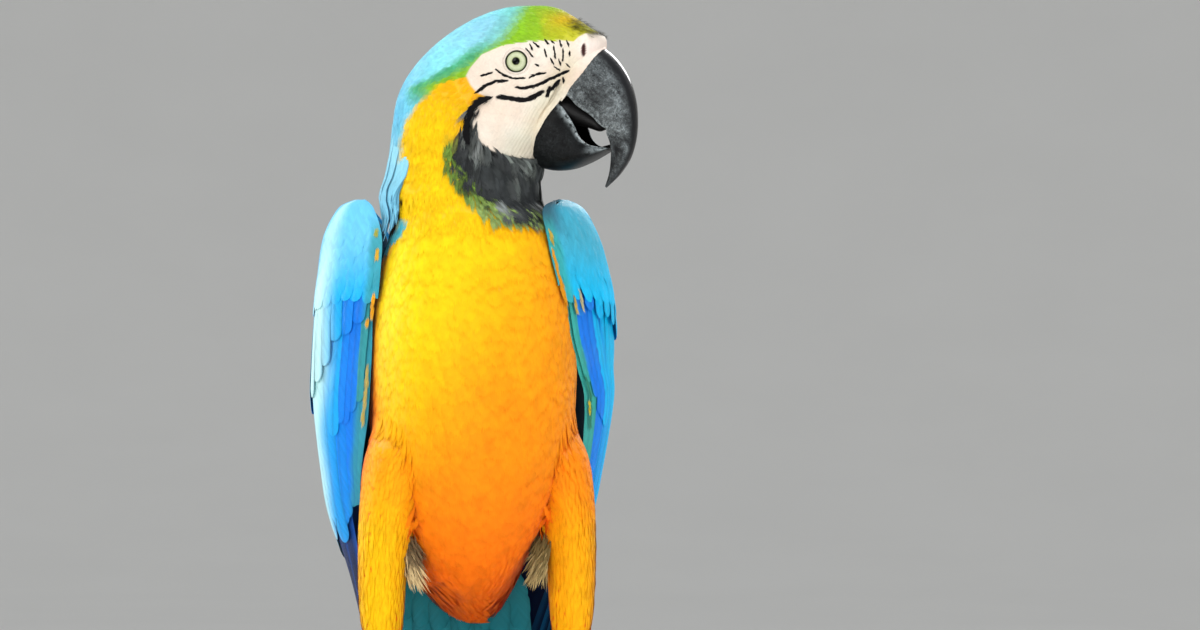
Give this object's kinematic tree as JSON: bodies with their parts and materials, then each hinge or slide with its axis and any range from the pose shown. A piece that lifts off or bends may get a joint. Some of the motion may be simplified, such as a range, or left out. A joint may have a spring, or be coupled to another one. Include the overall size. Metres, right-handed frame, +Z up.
{
  "type": "blue-and-yellow macaw",
  "caption": "Life-size macaw model perched upright on a cut branch, head turned to its left, bill parted, on a round display stand with two rods.",
  "frame": {"origin": "centre of the stand base's underside, on the floor", "axes": "+Z up, the bird's chest faces -Y, its left side is +X"},
  "size_m": [0.31, 0.31, 0.8099],
  "materials": {
    "face_skin": "bare wrinkled white skin",
    "eye": "wet, pale yellow-green iris with a black pupil",
    "bill": "black horn with dusty grey scuffs",
    "yellow_plumage": "soft overlapping body feathers, golden yellow to orange",
    "blue_plumage": "sheeny turquoise to cobalt blue vanes",
    "tail_plumage": "long blue vanes, golden below",
    "foot_skin": "dark grey scaly skin",
    "claw": "polished black horn",
    "bark": "weathered branch, bark mostly worn off",
    "rod_steel": "brushed",
    "base_wood": "satin dark stained wood"
  },
  "bodies": {
    "root": {"head": "face_skin", "eye_left": "eye", "eye_right": "eye", "bill_upper": "bill", "bill_lower": "bill", "tongue": "bill", "neck": "yellow_plumage", "torso": "yellow_plumage", "wing_left": "blue_plumage", "wing_right": "blue_plumage", "tail": "tail_plumage", "leg_left": "yellow_plumage", "leg_right": "yellow_plumage", "foot_left": "foot_skin", "foot_right": "foot_skin", "claw_inner_front_left": "claw", "claw_outer_front_left": "claw", "claw_outer_back_left": "claw", "claw_inner_back_left": "claw", "claw_inner_front_right": "claw", "claw_outer_front_right": "claw", "claw_outer_back_right": "claw", "claw_inner_back_right": "claw", "stand_perch": "bark", "stand_rod_left": "rod_steel", "stand_rod_right": "rod_steel", "stand_base": "base_wood"}
  },
  "joints": []
}
